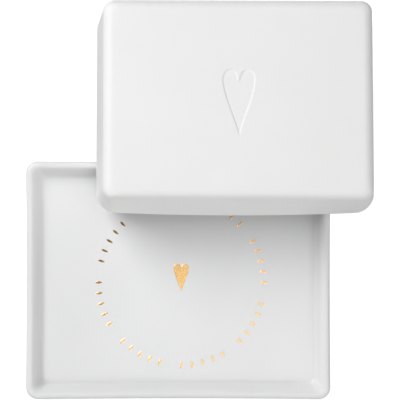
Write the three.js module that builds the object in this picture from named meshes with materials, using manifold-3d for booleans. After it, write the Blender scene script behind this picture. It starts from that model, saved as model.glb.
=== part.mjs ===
// A porcelain trinket dish: a shallow rectangular tray and a deep box lid that lies across the
// tray's back right corner. The tray's floor carries a gold heart in a ring of gold seed marks,
// and a slim heart is sunk into the top of the lid.
// Millimetres, +Z up. The origin is the middle of the tray's flat foot, on the table.
import * as THREE from "three";
import { ParametricGeometry } from "three/addons/geometries/ParametricGeometry.js";
import { mergeVertices } from "three/addons/utils/BufferGeometryUtils.js";
import Module from "manifold-3d";

// ---- driving dimensions ----
const TRAY = {
  width: 165,
  depth: 129,
  height: 12.5,
  floor: 4.5, // height of the flat floor above the table
  cornerRadius: 6.5,
  innerCornerRadius: 4,
  bow: { x: -0.4, y: -0.5 }, // the short and long sides are drawn in by this much at their middles
  upright: 0, // the long sides have the same profile as the short ones
  rimRadius: 2.2, // the rolled rim is round, from the outer side to rimEnd inside
  rimEnd: THREE.MathUtils.degToRad(45),
  cove: { upper: 3.6, lower: 3 }, // how far the inner wall keeps the rim's and the floor's direction
  floorInset: 9.5, // from the outer edge to where the flat floor starts
  printInset: 14.5, // the gold decoration keeps inside this margin
  foot: { inset: 11.5, draft: 0.4, height: 1.2 },
  belly: { inset: 5.5, height: 1.8 }, // where the underside starts to turn up to the side
  side: { inset: 1.2, height: 5 }, // where the side starts
};

const LID = {
  width: 149.7,
  depth: 109.4,
  height: 47,
  cornerRadius: 10,
  innerCornerRadius: 4.5,
  bow: { x: 0.2, y: 2 }, // the open edge swells by this much at the middle of the sides
  draft: 3.9, // each short wall leans in by this much from the open edge to the top
  upright: 2.1, // the long walls lean in by this much less
  edge: { outside: 5.6, inside: 3 }, // radii of the rounding between the walls and the top
  wall: 4,
};

// Where the lid lies: the middle of its open edge, seen from above
const PARKED = { x: 30.8, y: 91.2, gap: 0.3 };

// The sunk heart's floor is level; slope is the width of the slanting edge all round it
const SUNK_HEART = { width: 17.6, height: 36.5, depth: 0.6, slope: 0.8, x: 0.4, y: -2.6 };
const GOLD = { thickness: 0.2, heartWidth: 8.1, heartHeight: 15.1, x: 1.6, y: 1.1 };
// A ring of equal steps in which every sixth place stays empty, so the marks stand in fives
const SEEDS = { radius: 45, places: 48, group: 6, length: 4, width: 1.3, x: 1.6, y: -1.4 };

// ---- facets ----
const CORNER_STEPS = 6;
const SIDE_STEPS = 8;
const ARC_STEPS = 6;

// ---- materials ----
function glazedPorcelain() {
  return new THREE.MeshStandardMaterial({ color: 0xf3f2f1, roughness: 0.12, metalness: 0 });
}

function silkPorcelain() {
  return new THREE.MeshStandardMaterial({ color: 0xf2f1ef, roughness: 0.5, metalness: 0 });
}

function goldLustre() {
  return new THREE.MeshStandardMaterial({ color: 0xe0b070, roughness: 0.25, metalness: 1 });
}

// ---- dish shapes ----
// A rounded rectangle, anticlockwise from the right-hand side, whose sides bow out in the middle
function roundedRectangle(halfWidth, halfDepth, radius, bow) {
  const points = [];
  const corners = [[1, 1], [-1, 1], [-1, -1], [1, -1]];
  corners.forEach(([sx, sy], corner) => {
    const arc = new THREE.EllipseCurve(
      sx * (halfWidth - radius), sy * (halfDepth - radius), radius, radius,
      corner * Math.PI / 2, (corner + 1) * Math.PI / 2,
    );
    points.push(...arc.getPoints(CORNER_STEPS));
  });
  const outline = [];
  points.forEach((point, i) => {
    outline.push(point);
    if (i % (CORNER_STEPS + 1) < CORNER_STEPS) return;
    const next = points[(i + 1) % points.length];
    for (let step = 1; step < SIDE_STEPS; step++) {
      outline.push(point.clone().lerp(next, step / SIDE_STEPS));
    }
  });
  return outline.map(({ x, y }) => {
    const nearX = THREE.MathUtils.clamp((Math.abs(x) - halfWidth + radius) / radius, 0, 1);
    const nearY = THREE.MathUtils.clamp((Math.abs(y) - halfDepth + radius) / radius, 0, 1);
    return new THREE.Vector2(
      x + Math.sign(x) * nearX * bow.x * (1 - (y / halfDepth) ** 2),
      y + Math.sign(y) * nearY * bow.y * (1 - (x / halfWidth) ** 2),
    );
  });
}

// A solid with a rectangular plan, from a profile of (inset from the outer edge, height) points
// across its short sides. Its two ends close on the middle axis. risen says how far up the walls
// a height is, from 0 to 1: at 1 the sides no longer bow and the long ones stand out by upright.
function rectangularLathe(profile, body, risen) {
  const rings = profile.map(({ x: inset, y: z }) => {
    const up = risen(z);
    return roundedRectangle(
      body.width / 2 - inset,
      body.depth / 2 - inset + body.upright * up,
      Math.max(body.cornerRadius - inset, body.innerCornerRadius),
      { x: body.bow.x * (1 - up), y: body.bow.y * (1 - up) },
    );
  });
  const stacks = profile.length + 1;
  const slices = rings[0].length;
  const surface = (u, v, target) => {
    const stack = Math.round(v * stacks);
    if (stack === 0) return target.set(0, 0, profile[0].y);
    if (stack === stacks) return target.set(0, 0, profile.at(-1).y);
    const { x, y } = rings[stack - 1][Math.round(u * slices) % slices];
    return target.set(x, y, profile[stack - 1].y);
  };
  return closedGeometry(new ParametricGeometry(surface, slices, stacks));
}

// Shares the vertices at the seam and the poles, and drops the triangles that close up there
function closedGeometry(geometry) {
  geometry.deleteAttribute("normal");
  geometry.deleteAttribute("uv");
  const merged = mergeVertices(geometry, 1e-4);
  const index = merged.getIndex().array;
  const kept = [];
  for (let i = 0; i < index.length; i += 3) {
    const [a, b, c] = index.slice(i, i + 3);
    if (a !== b && b !== c && c !== a) kept.push(a, b, c);
  }
  merged.setIndex(kept);
  return merged;
}

function trayProfile() {
  const { height, floor, rimRadius, rimEnd, cove, floorInset, printInset, foot, belly, side } = TRAY;
  const rimMiddle = height - rimRadius;
  const wallTop = {
    x: rimRadius + rimRadius * Math.cos(rimEnd) + cove.upper * Math.sin(rimEnd),
    y: rimMiddle + rimRadius * Math.sin(rimEnd) - cove.upper * Math.cos(rimEnd),
  };
  const path = new THREE.Path();
  path.moveTo(foot.inset, 0);
  path.lineTo(foot.inset - foot.draft, foot.height);
  path.lineTo(belly.inset, belly.height);
  path.quadraticCurveTo(side.inset, belly.height, side.inset, side.height);
  path.lineTo(0, rimMiddle);
  path.absarc(rimRadius, rimMiddle, rimRadius, Math.PI, rimEnd, true);
  path.bezierCurveTo(wallTop.x, wallTop.y, floorInset - cove.lower, floor, floorInset, floor);
  path.lineTo(printInset, floor);
  return path.getPoints(ARC_STEPS);
}

function lidProfile() {
  const { height, draft, edge, wall } = LID;
  const lip = wall / 2;
  const roof = height - wall;
  const inner = { x: draft + wall + edge.inside, y: roof - edge.inside };
  const outer = { x: draft + edge.outside, y: height - edge.outside };
  const path = new THREE.Path();
  path.moveTo(inner.x, roof);
  path.absarc(inner.x, inner.y, edge.inside, Math.PI / 2, Math.PI, false);
  path.lineTo(wall, lip);
  path.absarc(lip, lip, lip, 0, -Math.PI, true);
  path.lineTo(draft, outer.y);
  path.absarc(outer.x, outer.y, edge.outside, Math.PI, Math.PI / 2, true);
  return path.getPoints(ARC_STEPS);
}

// ---- hearts ----
// One side of a slim heart, from the notch over the lobe to the tip: side is 1 or -1
function heartSide(width, height, side) {
  const at = (x, y) => new THREE.Vector3(side * x * width, y * height, 0);
  const curve = new THREE.CurvePath();
  curve.add(new THREE.CubicBezierCurve3(at(0, 0.33), at(0.03, 0.43), at(0.1, 0.5), at(0.25, 0.5)));
  curve.add(new THREE.CubicBezierCurve3(at(0.25, 0.5), at(0.41, 0.5), at(0.5, 0.43), at(0.5, 0.34)));
  curve.add(new THREE.CubicBezierCurve3(at(0.5, 0.34), at(0.5, 0.14), at(0.15, -0.2), at(0, -0.5)));
  return curve;
}

// Extrudes a flat outline into a closed solid that stands on z = 0
function flatSolid(points, thickness) {
  const shape = new THREE.Shape(points);
  return closedGeometry(new THREE.ExtrudeGeometry(shape, { depth: thickness, bevelEnabled: false }));
}

function heartOutline(width, height) {
  const right = heartSide(width, height, 1).getPoints(ARC_STEPS);
  const left = heartSide(width, height, -1).getPoints(ARC_STEPS).reverse();
  return [...right, ...left.slice(1, -1)].map(({ x, y }) => new THREE.Vector2(x, y));
}

// A grain pointed at both ends, along +Y: two arcs through the tips
function seedOutline(length, width) {
  const radius = (length ** 2 / 4 + width ** 2 / 4) / width;
  const half = Math.asin(length / 2 / radius);
  const offset = radius - width / 2;
  const right = new THREE.EllipseCurve(-offset, 0, radius, radius, -half, half);
  const left = new THREE.EllipseCurve(offset, 0, radius, radius, Math.PI - half, Math.PI + half);
  return [...right.getPoints(ARC_STEPS), ...left.getPoints(ARC_STEPS).slice(1, -1)];
}

// ---- cuts ----
const wasm = await Module();
wasm.setup();

function toManifold(geometry) {
  return new wasm.Manifold(new wasm.Mesh({
    numProp: 3,
    vertProperties: new Float32Array(geometry.getAttribute("position").array),
    triVerts: new Uint32Array(geometry.getIndex().array),
  }));
}

function toGeometry(manifold) {
  const { vertProperties, triVerts } = manifold.getMesh();
  const geometry = new THREE.BufferGeometry();
  geometry.setAttribute("position", new THREE.BufferAttribute(vertProperties, 3));
  geometry.setIndex(new THREE.BufferAttribute(triVerts, 1));
  return geometry;
}

// The cutter for the sunk heart, whose lower edge slants in to a level floor
function heartCutter() {
  const { width, height, depth, slope, x, y } = SUNK_HEART;
  const shape = new THREE.Shape(heartOutline(width, height));
  const slanting = { bevelThickness: depth, bevelSize: slope, bevelOffset: -slope, bevelSegments: 1 };
  const solid = new THREE.ExtrudeGeometry(shape, { depth, ...slanting });
  solid.translate(x, y, LID.height);
  return toManifold(closedGeometry(solid));
}

// ---- pieces ----
function piece(name, geometry, material) {
  geometry.computeVertexNormals();
  const mesh = new THREE.Mesh(geometry, material);
  mesh.name = name;
  return mesh;
}

function makeTray() {
  return piece("tray", rectangularLathe(trayProfile(), TRAY, () => 0), glazedPorcelain());
}

function makeLid() {
  const risen = (z) => Math.min(1, z / (LID.height - LID.edge.outside));
  const shell = toManifold(rectangularLathe(lidProfile(), LID, risen));
  return piece("lid", toGeometry(shell.subtract(heartCutter())), silkPorcelain());
}

function makeGoldHeart() {
  const outline = heartOutline(GOLD.heartWidth, GOLD.heartHeight);
  const heart = piece("gold_heart", flatSolid(outline, GOLD.thickness), goldLustre());
  heart.position.set(GOLD.x, GOLD.y, TRAY.floor);
  return heart;
}

function makeSeedRing() {
  const ring = new THREE.Group();
  ring.position.set(SEEDS.x, SEEDS.y, TRAY.floor);
  const places = Array.from({ length: SEEDS.places }, (_, place) => place);
  const filled = places.filter((place) => place % SEEDS.group < SEEDS.group - 1);
  filled.forEach((place, i) => {
    const name = `gold_seed_${String(i + 1).padStart(2, "0")}`;
    const outline = seedOutline(SEEDS.length, SEEDS.width);
    const seed = piece(name, flatSolid(outline, GOLD.thickness), goldLustre());
    const angle = place / SEEDS.places * 2 * Math.PI;
    seed.position.set(-Math.sin(angle) * SEEDS.radius, Math.cos(angle) * SEEDS.radius, 0);
    seed.rotation.z = angle;
    ring.add(seed);
  });
  return ring;
}

// The lid rests on three points: the tray's back rim under its left wall, the tray's right rim
// under its front wall, and its own far corner on the table. They set the plane of its open edge.
function parkLid(lid) {
  const lip = LID.wall / 2;
  const halfWidth = LID.width / 2 - lip;
  const halfDepth = LID.depth / 2 - lip;
  const rimHeight = TRAY.height + PARKED.gap;
  const onBackRim = new THREE.Vector3(PARKED.x - halfWidth, TRAY.depth / 2 - TRAY.rimRadius, rimHeight);
  const onRightRim = new THREE.Vector3(TRAY.width / 2 - TRAY.rimRadius, PARKED.y - halfDepth, rimHeight);
  const hinge = onRightRim.clone().sub(onBackRim).normalize();
  const downhill = new THREE.Vector3(-hinge.y, hinge.x, 0);
  const cornerRadius = LID.cornerRadius - lip;
  const farCorner = new THREE.Vector3(
    PARKED.x + halfWidth - cornerRadius + cornerRadius * downhill.x,
    PARKED.y + halfDepth - cornerRadius + cornerRadius * downhill.y,
    PARKED.gap,
  );
  const openEdge = new THREE.Plane().setFromCoplanarPoints(onBackRim, onRightRim, farCorner);
  const up = openEdge.normal.z > 0 ? openEdge.normal : openEdge.normal.clone().negate();
  const drop = ((PARKED.x - onBackRim.x) * up.x + (PARKED.y - onBackRim.y) * up.y) / up.z;

  const parked = new THREE.Group();
  parked.position.set(PARKED.x, PARKED.y, rimHeight - drop);
  parked.quaternion.setFromUnitVectors(new THREE.Vector3(0, 0, 1), up);
  parked.add(lid);
  return parked;
}

const dish = new THREE.Group();
dish.add(makeTray(), makeGoldHeart(), makeSeedRing(), parkLid(makeLid()));

export default dish;
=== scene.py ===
import math

import bmesh
import bpy
from mathutils import Matrix, Vector, noise
from mathutils.geometry import delaunay_2d_cdt, intersect_point_line


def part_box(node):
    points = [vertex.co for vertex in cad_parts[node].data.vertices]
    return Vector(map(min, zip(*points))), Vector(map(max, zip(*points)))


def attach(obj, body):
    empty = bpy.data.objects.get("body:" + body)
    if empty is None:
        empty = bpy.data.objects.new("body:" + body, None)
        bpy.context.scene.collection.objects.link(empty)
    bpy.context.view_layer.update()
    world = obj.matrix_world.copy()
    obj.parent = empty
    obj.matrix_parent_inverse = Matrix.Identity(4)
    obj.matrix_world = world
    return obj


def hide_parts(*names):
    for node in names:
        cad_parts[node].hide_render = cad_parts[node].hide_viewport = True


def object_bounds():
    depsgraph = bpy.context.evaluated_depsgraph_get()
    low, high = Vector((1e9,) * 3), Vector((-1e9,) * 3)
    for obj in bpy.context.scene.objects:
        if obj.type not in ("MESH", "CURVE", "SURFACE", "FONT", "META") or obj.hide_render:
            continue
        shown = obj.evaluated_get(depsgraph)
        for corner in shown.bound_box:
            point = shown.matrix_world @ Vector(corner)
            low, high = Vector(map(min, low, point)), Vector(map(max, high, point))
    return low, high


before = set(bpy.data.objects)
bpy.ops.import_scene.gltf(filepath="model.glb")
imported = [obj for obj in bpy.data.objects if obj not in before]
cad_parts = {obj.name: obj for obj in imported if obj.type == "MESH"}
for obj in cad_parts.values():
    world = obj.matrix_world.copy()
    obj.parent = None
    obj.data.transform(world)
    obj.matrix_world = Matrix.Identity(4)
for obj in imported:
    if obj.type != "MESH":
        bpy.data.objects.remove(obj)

cad_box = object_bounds()
MM = 0.001

# ---- sizes, in millimetres ----
TRAY = dict(
    width=164.9, depth=128.9, height=12.5, floor=4.5, corner=6.5, inner_corner=4,
    bow=(-0.4, -0.5), upright=0, rim=2.2, floor_inset=9.5,
)
RIM_END = 45  # degrees above level, where the rolled rim turns into the inner wall
COVE = dict(upper=3.6, lower=3)  # how far the inner wall keeps the rim's and the floor's direction
FOOT = dict(inset=11.5, height=1.2, round=0.4)
BELLY = dict(inset=5.5, height=1.8)  # where the underside starts to turn up to the side
SIDE = dict(inset=1.3, height=5)  # where the side starts
LID = dict(
    width=149.6, depth=109.3, height=46.9, corner=10, inner_corner=4.5,
    bow=(0.2, 2), draft=3.9, upright=2.1, wall=4,
)
LID_EDGE = dict(outside=5.6, inside=3)  # radii of the rounding between the walls and the top
BARE_LIP = 0.35  # below this height the lid's lip has no glaze
BARE_FOOT = 0.72  # below this height the tray's foot has no glaze
FLAT_MATCH = 0.999999  # the cosine of the angle within which two faces count as one plane

# The sunk heart's floor is level; slope is the width of the slanting edge all round it
SUNK_HEART = dict(width=17.6, height=36.5, depth=0.6, slope=0.8, x=0.4, y=-2.6)
GOLD_THICK = 0.05
GOLD_SIDE = 0.45  # the share of the thickness below the soft edge
GOLD_SOFT_EDGE = 0.08
HEART = dict(width=8.1, height=15.1)
SEED = dict(length=4, width=1.3)

WAVER = 0.08  # how far the cast walls stray from true
WAVER_LENGTH = 55
WAVER_SEED = 1  # without a seed Blender shifts the noise with the time of day

# ---- how fine the meshes are ----
CORNER_STEPS = 16
SIDE_STEPS = 28
ROLL_STEPS = 16  # on the tray's rim and on the lid's lip
SWEEP_STEPS = 24  # on the tray's inner wall and on the rounding of the lid's top
SUNK_HEART_STEPS = 30  # on each of the three curves of each side
FILM_HEART_STEPS = 12
SEED_STEPS = 8
SEEN_PITCH = 4  # between the points inside the flat areas
HIDDEN_PITCH = 6
FILL_MARGIN = dict(foot=3, floor=2, lid=4)  # between a flat area's border and those points
FLAT_RIM = 2  # how far a flat area's own rings reach in before the fill takes over
SLOPE_ROWS = (-0.5, 0, 0.15, 0.3, 0.5, 0.7, 0.85, 1, 1.5)  # as shares of the sunk heart's slope
ROW_CLEARANCE = 0.05  # rows of points give way where they come this much nearer to another side

# ---- the places of a piece's materials, after its outer glaze ----
TRAY_BARE = 1
LID_INSIDE = 1
LID_BARE = 2

# ---- looks ----
NOISE_RANGE = (0.3, 0.7)  # where the values of a noise mostly are

# ---- studio, where a light of 1 makes a white sheet look white ----
PAPER = 0.5  # how much light the table sends back up
PAPER_GLOW = 0.85  # what the picture adds to it
ROOM_LIGHT = 0.18
BACKDROP = 1.0  # the room as the camera sees it
# The overhead lights lie on a sky of radius 1
REFLECTOR = dict(direction=(0.02, -0.09, 1), radius=0.076, softness=0.003, light=1.35)
GLOOM = dict(light=0.04, start=0.4, end=0.7)  # the dark ceiling round the reflector

# ---- lights, camera and table, in metres and degrees ----
LIGHT_DISTANCE = 1.6
SOFTBOXES = (
    dict(name="key_softbox", azimuth=135, elevation=45, size=(1, 1), brightness=0.735),
    dict(name="front_fill", azimuth=315, elevation=30, size=(2, 1.4), brightness=0.46),
    dict(name="high_front_fill", azimuth=270, elevation=58, size=(1.4, 1), brightness=0.165),
    dict(name="left_fill", azimuth=190, elevation=14, size=(1, 0.6), brightness=0.06),
)
CAMERA = dict(lens=197.7, nearest=0.05, height=1.2, aside=0.0001, behind=0.0014)
TABLE = dict(half_width=4, drop=0.0002, squares=12)


# ---- flat outlines ----
def rounded_rectangle(half_width, half_depth, radius, bow):
    """Points anticlockwise from the right-hand side; bow pushes the middles of the sides out."""
    corners = []
    for corner, (sx, sy) in enumerate(((1, 1), (-1, 1), (-1, -1), (1, -1))):
        quarter = []
        for step in range(CORNER_STEPS + 1):
            angle = (corner + step / CORNER_STEPS) * math.pi / 2
            quarter.append((
                sx * (half_width - radius) + radius * math.cos(angle),
                sy * (half_depth - radius) + radius * math.sin(angle),
            ))
        corners.append(quarter)
    outline = []
    for corner, quarter in enumerate(corners):
        outline += quarter
        (ax, ay), (bx, by) = quarter[-1], corners[(corner + 1) % 4][0]
        for step in range(1, SIDE_STEPS):
            share = step / SIDE_STEPS
            outline.append((ax + (bx - ax) * share, ay + (by - ay) * share))
    return [bowed(x, y, half_width, half_depth, radius, bow) for x, y in outline]


def bowed(x, y, half_width, half_depth, radius, bow):
    """Moves a point of the outline out by its side's bow, most at the middle, little at a corner."""
    near_x = min(max((abs(x) - half_width + radius) / radius, 0), 1)
    near_y = min(max((abs(y) - half_depth + radius) / radius, 0), 1)
    return (
        x + math.copysign(near_x, x) * bow[0] * (1 - (y / half_depth) ** 2),
        y + math.copysign(near_y, y) * bow[1] * (1 - (x / half_width) ** 2),
    )


def arc(x, z, radius, start, end, steps):
    """Points on an arc, its angles in degrees."""
    angles = [math.radians(start + (end - start) * i / steps) for i in range(steps + 1)]
    return [(x + radius * math.cos(a), z + radius * math.sin(a)) for a in angles]


def bezier(points, steps):
    """Points along a Bezier curve of any degree."""
    curve = []
    for i in range(steps + 1):
        level = [Vector(p) for p in points]
        while len(level) > 1:
            level = [a.lerp(b, i / steps) for a, b in zip(level, level[1:])]
        curve.append(tuple(level[0]))
    return curve


def straight(start, end, steps):
    return bezier([start, end], steps)


def joined(*stretches):
    """One run of points from several that start where the last one ended."""
    points = list(stretches[0])
    for stretch in stretches[1:]:
        points += stretch[1:]
    return points


def heart_side(width, height, side, steps):
    """One side of a slim heart from the notch over the lobe to the tip; side is 1 or -1."""
    stretches = (
        [(0, 0.33), (0.03, 0.43), (0.1, 0.5), (0.25, 0.5)],
        [(0.25, 0.5), (0.41, 0.5), (0.5, 0.43), (0.5, 0.34)],
        [(0.5, 0.34), (0.5, 0.14), (0.15, -0.2), (0, -0.5)],
    )
    unit = joined(*(bezier(points, steps) for points in stretches))
    return [(side * x * width, y * height) for x, y in unit]


def heart_outline(width, height, steps):
    """Points anticlockwise from the tip."""
    right = heart_side(width, height, 1, steps)
    left = heart_side(width, height, -1, steps)
    return [Vector(p) for p in list(reversed(right)) + left[1:-1]]


def seed_outline(length, width, steps):
    """A grain pointed at both ends, along Y, from two arcs through its tips."""
    radius = (length ** 2 + width ** 2) / (4 * width)
    half = math.degrees(math.asin(length / 2 / radius))
    offset = radius - width / 2
    right = arc(-offset, 0, radius, -half, half, steps)
    left = arc(offset, 0, radius, 180 - half, 180 + half, steps)
    return [Vector(p) for p in right + left[1:-1]]


# ---- meshes ----
def waver(x, y, z):
    """The slow, slight unevenness of a slip-cast wall."""
    place = Vector((x, y, z)) / WAVER_LENGTH
    return noise.noise_vector(place) * WAVER


def lathe(bm, body, profile, risen, waver_share):
    """Rings of vertices with a rectangular plan, one for each (inset, height) across a short side.

    risen(z) says how far up the walls a height is: at 1 the sides no longer bow, and the long
    ones stand out by the body's upright. waver_share(z) is how much of the unevenness it takes.
    """
    rings = []
    for inset, z in profile:
        up = risen(z)
        outline = rounded_rectangle(
            body["width"] / 2 - inset,
            body["depth"] / 2 - inset + body["upright"] * up,
            max(body["corner"] - inset, body["inner_corner"]),
            (body["bow"][0] * (1 - up), body["bow"][1] * (1 - up)),
        )
        stray = waver_share(z)
        rings.append([bm.verts.new(Vector((x, y, z)) + waver(x, y, z) * stray) for x, y in outline])
    for lower, upper in zip(rings, rings[1:]):
        for i in range(len(lower)):
            j = (i + 1) % len(lower)
            bm.faces.new((lower[i], lower[j], upper[j], upper[i]))
    return rings


def fill(bm, ring, inner_points, height, facing_up):
    """Closes a flat ring with triangles through inner points, whose z is height(x, y).

    Returns the new faces.
    """
    outline = [Vector(v.co[:2]) for v in ring]
    points = outline + [Vector(p) for p in inner_points]
    border = [list(range(len(ring)))]
    inside_only, weld = 1, 1e-6
    places, _, faces, origins, _, _ = delaunay_2d_cdt(points, [], border, inside_only, weld)
    verts = []
    for place, origin in zip(places, origins):
        known = [i for i in origin if i < len(ring)]
        verts.append(ring[known[0]] if known else bm.verts.new((*place, height(*place))))
    new_faces = []
    for face in faces:
        corners = [verts[i] for i in face]
        normal_z = (corners[1].co - corners[0].co).cross(corners[2].co - corners[0].co).z
        if (normal_z > 0) != facing_up:
            corners.reverse()
        new_faces.append(bm.faces.new(corners))
    return new_faces


def inward(points, i):
    """The level direction into an anticlockwise outline at one of its points."""
    along = points[(i + 1) % len(points)] - points[i - 1]
    return Vector((-along.y, along.x)).normalized()


def depth_inside(point, outline):
    """How far a point is inside a closed outline; negative outside it."""
    nearest = math.inf
    inside = False
    for a, b in zip(outline, outline[1:] + outline[:1]):
        near, share = intersect_point_line(point, a, b)
        near = a if share < 0 else b if share > 1 else near
        nearest = min(nearest, (near.xy - point).length)
        if (a.y > point.y) != (b.y > point.y):
            crossing = a.x + (point.y - a.y) * (b.x - a.x) / (b.y - a.y)
            inside ^= point.x < crossing
    return nearest if inside else -nearest


def lattice(half_width, half_depth, pitch):
    """Evenly spread points inside a rectangle."""
    nx, ny = int(half_width / pitch), int(half_depth / pitch)
    return [(i * pitch, j * pitch) for i in range(-nx, nx + 1) for j in range(-ny, ny + 1)]


def finished(name, bm, materials, body, slot, smooth=True):
    """Turns millimetres into metres and makes the piece."""
    bmesh.ops.scale(bm, vec=(MM, MM, MM), verts=bm.verts)
    bmesh.ops.recalc_face_normals(bm, faces=bm.faces)
    mesh = bpy.data.meshes.new(name)
    bm.to_mesh(mesh)
    bm.free()
    if smooth:
        mesh.shade_smooth()
    for material in materials:
        mesh.materials.append(material)
    piece = bpy.data.objects.new(name, mesh)
    bpy.context.scene.collection.objects.link(piece)
    piece["rides"] = body
    piece["finish"] = slot
    return piece


# ---- tray ----
def tray_profile():
    height, floor, rim, inner = TRAY["height"], TRAY["floor"], TRAY["rim"], TRAY["floor_inset"]
    foot, step, nib = FOOT["inset"], FOOT["height"], FOOT["round"]
    belly, flank = (BELLY["inset"], BELLY["height"]), (SIDE["inset"], SIDE["height"])
    top_roll = arc(rim, height - rim, rim, 180, RIM_END, ROLL_STEPS)
    end = math.radians(RIM_END)
    roll_x, roll_z = top_roll[-1]
    wall_top = (roll_x + COVE["upper"] * math.sin(end), roll_z - COVE["upper"] * math.cos(end))
    wall_foot = (inner - COVE["lower"], floor)
    return joined(
        straight((foot + 3 * nib, 0), (foot + nib, 0), 2),
        arc(foot + nib, nib, nib, -90, -180, 4),
        straight((foot, nib), (foot, step - nib), 2),
        bezier([(foot, step - nib), (foot, step), (foot - nib, step)], 4),
        straight((foot - nib, step), belly, 6),
        bezier([belly, (flank[0], belly[1]), flank], 10),
        straight(flank, (0, height - rim), 6),
        top_roll,
        bezier([top_roll[-1], wall_top, wall_foot, (inner, floor)], SWEEP_STEPS),
    )


def make_tray(glaze, bare):
    bm = bmesh.new()

    def waver_share(z):
        return min(max((z - TRAY["floor"]) / (TRAY["height"] - TRAY["floor"]), 0), 1)

    rings = lathe(bm, TRAY, tray_profile(), lambda z: 0, waver_share)
    half = (TRAY["width"] / 2, TRAY["depth"] / 2)
    foot_inset = FOOT["inset"] + FILL_MARGIN["foot"]
    floor_inset = TRAY["floor_inset"] + FILL_MARGIN["floor"]
    under = lattice(half[0] - foot_inset, half[1] - foot_inset, HIDDEN_PITCH)
    over = lattice(half[0] - floor_inset, half[1] - floor_inset, SEEN_PITCH)
    fill(bm, rings[0], under, lambda x, y: 0, False)
    fill(bm, rings[-1], over, lambda x, y: TRAY["floor"], True)
    for face in bm.faces:
        if face.calc_center_median().z < BARE_FOOT:
            face.material_index = TRAY_BARE
    return finished("tray_glazed", bm, [glaze, bare], "tray", "glazed_porcelain")


# ---- lid ----
def lid_profile():
    height, draft, wall = LID["height"], LID["draft"], LID["wall"]
    lip = wall / 2
    roof = height - wall
    round_in, round_out = LID_EDGE["inside"], LID_EDGE["outside"]
    inner, outer = draft + wall + round_in, draft + round_out
    return joined(
        straight((inner + FLAT_RIM, roof), (inner, roof), 2),
        arc(inner, roof - round_in, round_in, 90, 180, 10),
        straight((draft + wall, roof - round_in), (wall, lip), 16),
        arc(lip, lip, lip, 0, -180, ROLL_STEPS),
        straight((0, lip), (draft, height - round_out), 20),
        arc(outer, height - round_out, round_out, 180, 90, SWEEP_STEPS),
        straight((outer, height), (outer + FLAT_RIM, height), 2),
    )


def sunk_heart():
    """The sunk heart's outline in the lid's top, and rows of points along its slanting edge."""
    centre = Vector((SUNK_HEART["x"], SUNK_HEART["y"]))
    size = SUNK_HEART["width"], SUNK_HEART["height"]
    outline = [p + centre for p in heart_outline(*size, SUNK_HEART_STEPS)]
    points = []
    for i, point in enumerate(outline):
        for share in SLOPE_ROWS:
            reach = SUNK_HEART["slope"] * share
            row_point = point + inward(outline, i) * reach
            if abs(depth_inside(row_point, outline) - reach) < ROW_CLEARANCE:
                points.append(row_point)
    return outline, points


def make_lid(silk, glaze, bare):
    bm = bmesh.new()
    profile = lid_profile()
    shoulder = LID["height"] - LID_EDGE["outside"]
    rings = lathe(bm, LID, profile, lambda z: min(1, z / shoulder), lambda z: 1)

    outline, edge_points = sunk_heart()
    inset = LID["draft"] + LID_EDGE["outside"] + FILL_MARGIN["lid"]
    half = (LID["width"] / 2 - inset, LID["depth"] / 2 - inset)
    clear = 2 * SUNK_HEART["slope"]
    roof = LID["height"] - LID["wall"]
    spread_out = [Vector(p) for p in lattice(*half, SEEN_PITCH)]
    level_points = [p for p in spread_out if abs(depth_inside(p, outline)) > clear]

    def top(x, y):
        share = depth_inside(Vector((x, y)), outline) / SUNK_HEART["slope"]
        share = min(max(share, 0), 1)
        sunk = SUNK_HEART["depth"] * share * share * (3 - 2 * share)
        return LID["height"] + waver(x, y, LID["height"]).z - sunk

    def ceiling(x, y):
        return roof + waver(x, y, roof).z

    inner_faces = fill(bm, rings[0], lattice(*half, HIDDEN_PITCH), ceiling, False)
    fill(bm, rings[-1], edge_points + level_points, top, True)

    lowest = min(range(len(profile)), key=lambda i: profile[i][1])
    inner_verts = {v for ring in rings[:lowest + 1] for v in ring}
    inner_faces += [face for face in bm.faces if inner_verts.issuperset(face.verts)]
    for face in inner_faces:
        face.material_index = LID_INSIDE
    for face in bm.faces:
        if face.calc_center_median().z < BARE_LIP:
            face.material_index = LID_BARE
    return finished("lid_silk", bm, [silk, glaze, bare], "lid", "silk_porcelain")


def lid_placement(lid):
    """Tilts the lid as the CAD lid's flat top is tilted, and centres it in the CAD lid's box."""
    tops = [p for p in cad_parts["lid"].data.polygons if p.normal.z > 0.9]

    def level_area(up):
        return sum(p.area for p in tops if p.normal.dot(up) > FLAT_MATCH)

    up = max((p.normal for p in tops), key=level_area)
    tilt = Vector((0, 0, 1)).rotation_difference(up).to_matrix().to_4x4()
    corners = [tilt @ v.co for v in lid.data.vertices]
    low = Vector([min(c[i] for c in corners) for i in range(3)])
    high = Vector([max(c[i] for c in corners) for i in range(3)])
    box_low, box_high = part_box("lid")
    return Matrix.Translation((box_low + box_high - low - high) / 2) @ tilt


# ---- gold ----
def gold_leaf(name, outline, gold):
    """A thin film with a soft edge, lying on z = 0."""
    bm = bmesh.new()
    count = len(outline)
    inner = [p + inward(outline, i) * GOLD_SOFT_EDGE for i, p in enumerate(outline)]
    levels = ((outline, 0), (outline, GOLD_THICK * GOLD_SIDE), (inner, GOLD_THICK))
    rings = [[bm.verts.new((*p, z)) for p in points] for points, z in levels]
    for lower, upper in zip(rings, rings[1:]):
        for i in range(count):
            j = (i + 1) % count
            bm.faces.new((lower[i], lower[j], upper[j], upper[i]))
    bm.faces.new(reversed(rings[0]))
    fill(bm, rings[-1], [], lambda x, y: GOLD_THICK, True)
    return finished(name, bm, [gold], "tray", "gold_lustre", smooth=False)


def lay_on_floor(piece, node, turn=0):
    """Centres a film over its CAD node, on the face that the node stands on."""
    low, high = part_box(node)
    centre = (low + high) / 2
    place = Matrix.Translation((centre.x, centre.y, low.z))
    piece.data.transform(place @ Matrix.Rotation(turn, 4, "Z"))


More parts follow.
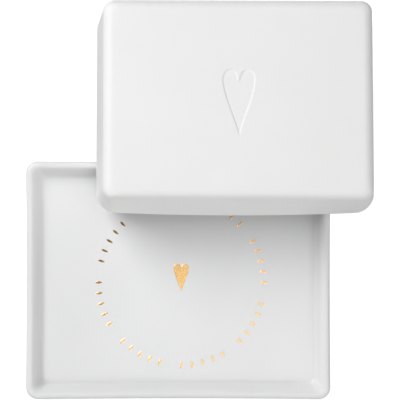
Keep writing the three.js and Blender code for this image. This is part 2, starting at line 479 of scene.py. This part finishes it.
def make_heart(gold):
    outline = heart_outline(HEART["width"], HEART["height"], FILM_HEART_STEPS)
    heart = gold_leaf("gold_heart_film", outline, gold)
    lay_on_floor(heart, "gold_heart")
    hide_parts("gold_heart")
    return heart


def make_seeds(gold):
    """Each seed points at the ring's middle, which is the middle of all the CAD seeds."""
    nodes = sorted(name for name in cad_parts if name.startswith("gold_seed_"))
    boxes = {node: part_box(node) for node in nodes}
    middle = sum(((low + high) / 2 for low, high in boxes.values()), Vector()) / len(nodes)
    seeds = []
    for node in nodes:
        low, high = boxes[node]
        out = (low + high) / 2 - middle
        outline = seed_outline(SEED["length"], SEED["width"], SEED_STEPS)
        seed = gold_leaf(node + "_film", outline, gold)
        lay_on_floor(seed, node, math.atan2(-out.x, out.y))
        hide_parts(node)
        seeds.append(seed)
    return seeds


# ---- materials ----
def new_material(name):
    """A material with its node tree and its shader."""
    material = bpy.data.materials.new(name)
    material.use_nodes = True
    tree = material.node_tree
    return material, tree, tree.nodes["Principled BSDF"]


def noise_node(tree, scale, detail=3.0, roughness=0.5):
    coordinates = tree.nodes.new("ShaderNodeTexCoord")
    texture = tree.nodes.new("ShaderNodeTexNoise")
    texture.inputs["Scale"].default_value = scale
    texture.inputs["Detail"].default_value = detail
    texture.inputs["Roughness"].default_value = roughness
    tree.links.new(coordinates.outputs["Object"], texture.inputs["Vector"])
    return texture.outputs["Fac"]


def ramp(tree, value, stops):
    """Colours at positions along a value; each stop is (position, (r, g, b))."""
    node = tree.nodes.new("ShaderNodeValToRGB")
    elements = node.color_ramp.elements
    while len(elements) < len(stops):
        elements.new(0.5)
    for element, (position, colour) in zip(elements, stops):
        element.position = position
        element.color = (*colour, 1)
    tree.links.new(value, node.inputs["Fac"])
    return node.outputs["Color"]


def spread(tree, value, low, high):
    """Maps a noise value's usual range on to low to high."""
    node = tree.nodes.new("ShaderNodeMapRange")
    node.inputs["From Min"].default_value = NOISE_RANGE[0]
    node.inputs["From Max"].default_value = NOISE_RANGE[1]
    node.inputs["To Min"].default_value = low
    node.inputs["To Max"].default_value = high
    tree.links.new(value, node.inputs["Value"])
    return node.outputs["Result"]


def bump(tree, value, distance, strength, below=None):
    """Relief from a value, on top of the relief below."""
    node = tree.nodes.new("ShaderNodeBump")
    node.inputs["Distance"].default_value = distance
    node.inputs["Strength"].default_value = strength
    tree.links.new(value, node.inputs["Height"])
    if below is not None:
        tree.links.new(below, node.inputs["Normal"])
    return node.outputs["Normal"]


def grey(value):
    return (value, value, value)


def glazed_porcelain():
    """Clear gloss over white: slow waves in the glaze, faint clouding, rare pinholes."""
    material, tree, shader = new_material("glazed_porcelain")
    clouds = noise_node(tree, 22, 4)
    colour = ramp(tree, clouds, [(0.3, (0.835, 0.838, 0.842)), (0.7, (0.86, 0.86, 0.86))])
    tree.links.new(colour, shader.inputs["Base Color"])
    tree.links.new(spread(tree, noise_node(tree, 60, 2), 0.05, 0.11), shader.inputs["Roughness"])
    waves = bump(tree, noise_node(tree, 90, 1), 0.0002, 0.12)
    skin = bump(tree, noise_node(tree, 900, 2), 0.00004, 0.1, waves)
    tree.links.new(skin, shader.inputs["Normal"])
    shader.inputs["IOR"].default_value = 1.5
    shader.inputs["Specular IOR Level"].default_value = 0.35
    shader.inputs["Subsurface Weight"].default_value = 0.12
    shader.inputs["Subsurface Radius"].default_value = (0.0022, 0.002, 0.0018)
    shader.inputs["Subsurface Scale"].default_value = 1.0
    return material


def silk_porcelain():
    """Smooth matt glaze with a fine tooth and a slight sheen."""
    material, tree, shader = new_material("silk_porcelain")
    clouds = noise_node(tree, 18, 4)
    colour = ramp(tree, clouds, [(0.3, (0.915, 0.913, 0.91)), (0.7, (0.935, 0.935, 0.935))])
    tree.links.new(colour, shader.inputs["Base Color"])
    tree.links.new(spread(tree, noise_node(tree, 150, 3), 0.42, 0.56), shader.inputs["Roughness"])
    slow = bump(tree, noise_node(tree, 120, 2), 0.0002, 0.08)
    tooth = bump(tree, noise_node(tree, 2600, 3, 0.6), 0.00003, 0.25, slow)
    tree.links.new(tooth, shader.inputs["Normal"])
    shader.inputs["IOR"].default_value = 1.45
    shader.inputs["Subsurface Weight"].default_value = 0.1
    shader.inputs["Subsurface Radius"].default_value = (0.002, 0.0019, 0.0018)
    shader.inputs["Subsurface Scale"].default_value = 1.0
    return material


def biscuit():
    """Bare fired clay where a piece stood in the kiln."""
    material, tree, shader = new_material("unglazed_biscuit")
    grain = noise_node(tree, 1500, 4, 0.7)
    colour = ramp(tree, grain, [(0.35, (0.66, 0.64, 0.6)), (0.6, (0.8, 0.785, 0.755))])
    tree.links.new(colour, shader.inputs["Base Color"])
    tree.links.new(spread(tree, grain, 0.8, 0.95), shader.inputs["Roughness"])
    tree.links.new(bump(tree, grain, 0.0001, 0.5), shader.inputs["Normal"])
    return material


def gold_lustre():
    """Burnished fired-on gold, almost a mirror, with a slightly uneven sheen."""
    material, tree, shader = new_material("gold_lustre")
    patches = noise_node(tree, 900, 3)
    colour = ramp(tree, patches, [(0.35, (0.93, 0.57, 0.22)), (0.65, (0.98, 0.64, 0.28))])
    tree.links.new(colour, shader.inputs["Base Color"])
    tree.links.new(spread(tree, noise_node(tree, 1800, 3), 0.07, 0.14), shader.inputs["Roughness"])
    tree.links.new(bump(tree, noise_node(tree, 1500, 2), 0.000002, 0.3), shader.inputs["Normal"])
    shader.inputs["Metallic"].default_value = 1.0
    return material


def camera_sees(tree, seen, otherwise):
    """A brightness for what the camera sees directly; the light it casts is the other value."""
    path = tree.nodes.new("ShaderNodeLightPath")
    choice = tree.nodes.new("ShaderNodeMix")
    choice.data_type = "FLOAT"
    tree.links.new(path.outputs["Is Camera Ray"], choice.inputs["Factor"])
    choice.inputs["B"].default_value = seen
    if isinstance(otherwise, float):
        choice.inputs["A"].default_value = otherwise
    else:
        tree.links.new(otherwise, choice.inputs["A"])
    return choice.outputs["Result"]


def studio_paper():
    """White paper, burnt out to white in the picture as such product photos are."""
    material, tree, shader = new_material("studio_paper")
    fibres = noise_node(tree, 500, 3)
    colour = ramp(tree, fibres, [(0.3, grey(PAPER - 0.02)), (0.7, grey(PAPER + 0.02))])
    tree.links.new(colour, shader.inputs["Base Color"])
    shader.inputs["Roughness"].default_value = 0.9
    shader.inputs["Specular IOR Level"].default_value = 0.0
    shader.inputs["Emission Color"].default_value = (1, 1, 1, 1)
    tree.links.new(camera_sees(tree, PAPER_GLOW, 0.0), shader.inputs["Emission Strength"])
    return material


# ---- stage ----
def make_floor():
    bm = bmesh.new()
    squares = TABLE["squares"]
    bmesh.ops.create_grid(bm, x_segments=squares, y_segments=squares, size=TABLE["half_width"])
    mesh = bpy.data.meshes.new("studio_floor")
    bm.to_mesh(mesh)
    bm.free()
    mesh.materials.append(studio_paper())
    floor = bpy.data.objects.new("studio_floor", mesh)
    bpy.context.scene.collection.objects.link(floor)
    floor.location.z = -TABLE["drop"]


def make_world():
    """A dim, even room with a bright round reflector almost straight overhead."""
    world = bpy.data.worlds.new("studio")
    bpy.context.scene.world = world
    world.use_nodes = True
    tree = world.node_tree
    background = tree.nodes["Background"]
    coordinates = tree.nodes.new("ShaderNodeTexCoord")
    away = tree.nodes.new("ShaderNodeVectorMath")
    away.operation = "DISTANCE"
    away.inputs[1].default_value = Vector(REFLECTOR["direction"]).normalized()
    tree.links.new(coordinates.outputs["Generated"], away.inputs[0])
    ceiling = ramp(tree, away.outputs["Value"], [
        (REFLECTOR["radius"] - REFLECTOR["softness"], grey(REFLECTOR["light"])),
        (REFLECTOR["radius"] + REFLECTOR["softness"], grey(GLOOM["light"])),
        (GLOOM["start"], grey(GLOOM["light"])),
        (GLOOM["end"], grey(ROOM_LIGHT)),
    ])
    strength = camera_sees(tree, BACKDROP, ceiling)
    tree.links.new(strength, background.inputs["Strength"])
    background.inputs["Color"].default_value = (1, 1, 1, 1)


def softbox(name, azimuth, elevation, size, brightness):
    """A rectangular light aimed at the dish; at brightness 1 a white sheet facing it looks white."""
    light = bpy.data.lights.new(name, "AREA")
    light.shape = "RECTANGLE"
    light.size, light.size_y = size
    light.energy = brightness * (math.pi * LIGHT_DISTANCE) ** 2
    lamp = bpy.data.objects.new(name, light)
    bpy.context.scene.collection.objects.link(lamp)
    turn, rise = math.radians(azimuth), math.radians(elevation)
    away = Vector((math.cos(turn) * math.cos(rise), math.sin(turn) * math.cos(rise), math.sin(rise)))
    lamp.location = away * LIGHT_DISTANCE
    lamp.rotation_euler = away.to_track_quat("Z", "Y").to_euler()


def make_camera():
    """Looks straight down, a little off the middle of the dish."""
    camera = bpy.data.cameras.new("camera")
    camera.lens = CAMERA["lens"]
    camera.clip_start = CAMERA["nearest"]
    holder = bpy.data.objects.new("camera", camera)
    bpy.context.scene.collection.objects.link(holder)
    low, high = cad_box
    middle = (low + high) / 2
    holder.location = (middle.x + CAMERA["aside"], middle.y + CAMERA["behind"], CAMERA["height"])
    bpy.context.scene.camera = holder


# ---- the whole dish ----
noise.seed_set(WAVER_SEED)
glaze, silk, bare, gold = glazed_porcelain(), silk_porcelain(), biscuit(), gold_lustre()

tray = make_tray(glaze, bare)
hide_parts("tray")

lid = make_lid(silk, glaze, bare)
lid.data.transform(lid_placement(lid))
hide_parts("lid")

for piece in (tray, lid, make_heart(gold), *make_seeds(gold)):
    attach(piece, piece["rides"])

make_floor()
make_world()
for settings in SOFTBOXES:
    softbox(**settings)
make_camera()
bpy.context.scene.view_settings.view_transform = "Standard"
